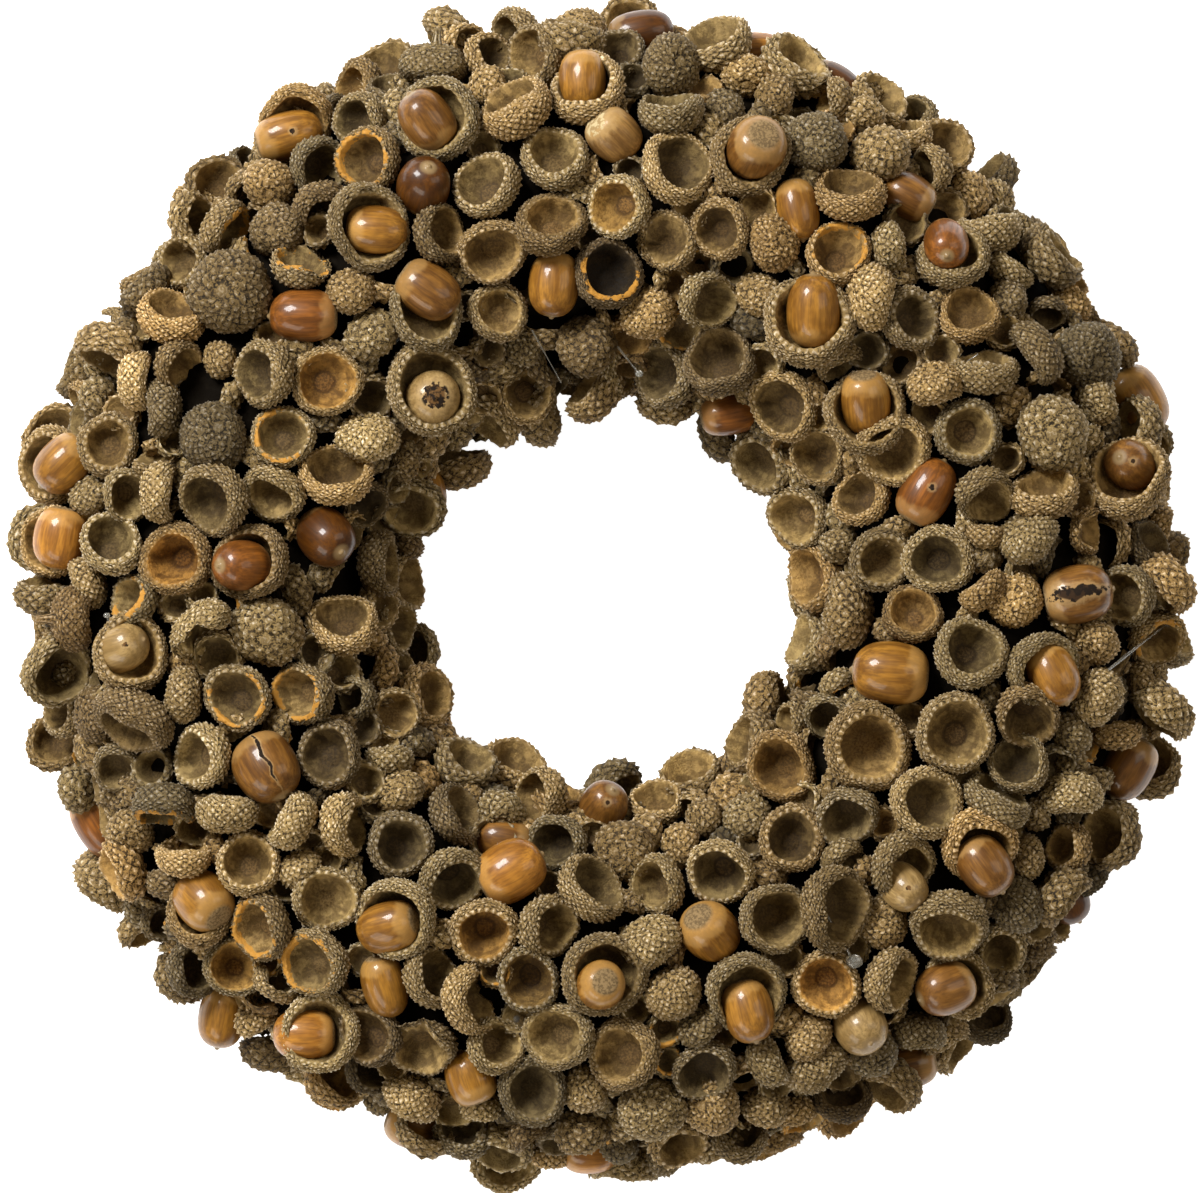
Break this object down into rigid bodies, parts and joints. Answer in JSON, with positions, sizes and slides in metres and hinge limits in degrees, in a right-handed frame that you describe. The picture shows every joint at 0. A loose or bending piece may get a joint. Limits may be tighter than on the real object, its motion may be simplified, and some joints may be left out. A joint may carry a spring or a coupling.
{
  "type": "acorn wreath",
  "caption": "Round decorative wreath: a flat-backed ring packed over its front and sides with acorn cups, open, tilted and capsized, and with glossy acorns.",
  "frame": {"origin": "the middle of the flat back, in the axis of the hole", "axes": "+Z out of the wreath's front, +Y the picture's up, +X the picture's right"},
  "size_m": [0.34, 0.3434, 0.0776],
  "materials": {
    "wrap": "thin black film wound round a straw ring, slightly glossy",
    "cup": "dry woody scales, matt",
    "nut": "smooth hard shell, glossy"
  },
  "bodies": {
    "root": {"former": "wrap", "cups_1": "cup", "cups_2": "cup", "cups_3": "cup", "cups_4": "cup", "cups_5": "cup", "cups_6": "cup", "nut_01": "nut", "nut_02": "nut", "nut_03": "nut", "nut_04": "nut", "nut_05": "nut", "nut_06": "nut", "nut_07": "nut", "nut_08": "nut", "nut_09": "nut", "nut_10": "nut", "nut_11": "nut", "nut_12": "nut", "nut_13": "nut", "nut_14": "nut", "nut_15": "nut", "nut_16": "nut", "nut_17": "nut", "nut_18": "nut", "nut_19": "nut", "nut_20": "nut", "nut_21": "nut", "nut_22": "nut", "nut_23": "nut", "nut_24": "nut", "nut_25": "nut", "nut_26": "nut", "nut_27": "nut", "nut_28": "nut", "nut_29": "nut", "nut_30": "nut", "nut_31": "nut", "nut_32": "nut", "nut_33": "nut", "nut_34": "nut", "nut_35": "nut", "nut_36": "nut", "nut_37": "nut", "nut_38": "nut", "nut_39": "nut", "nut_40": "nut", "nut_41": "nut", "nut_42": "nut", "nut_43": "nut", "nut_44": "nut", "nut_45": "nut", "nut_46": "nut", "nut_47": "nut", "nut_48": "nut", "nut_49": "nut", "nut_50": "nut", "nut_51": "nut", "nut_52": "nut", "nut_53": "nut"}
  },
  "joints": []
}
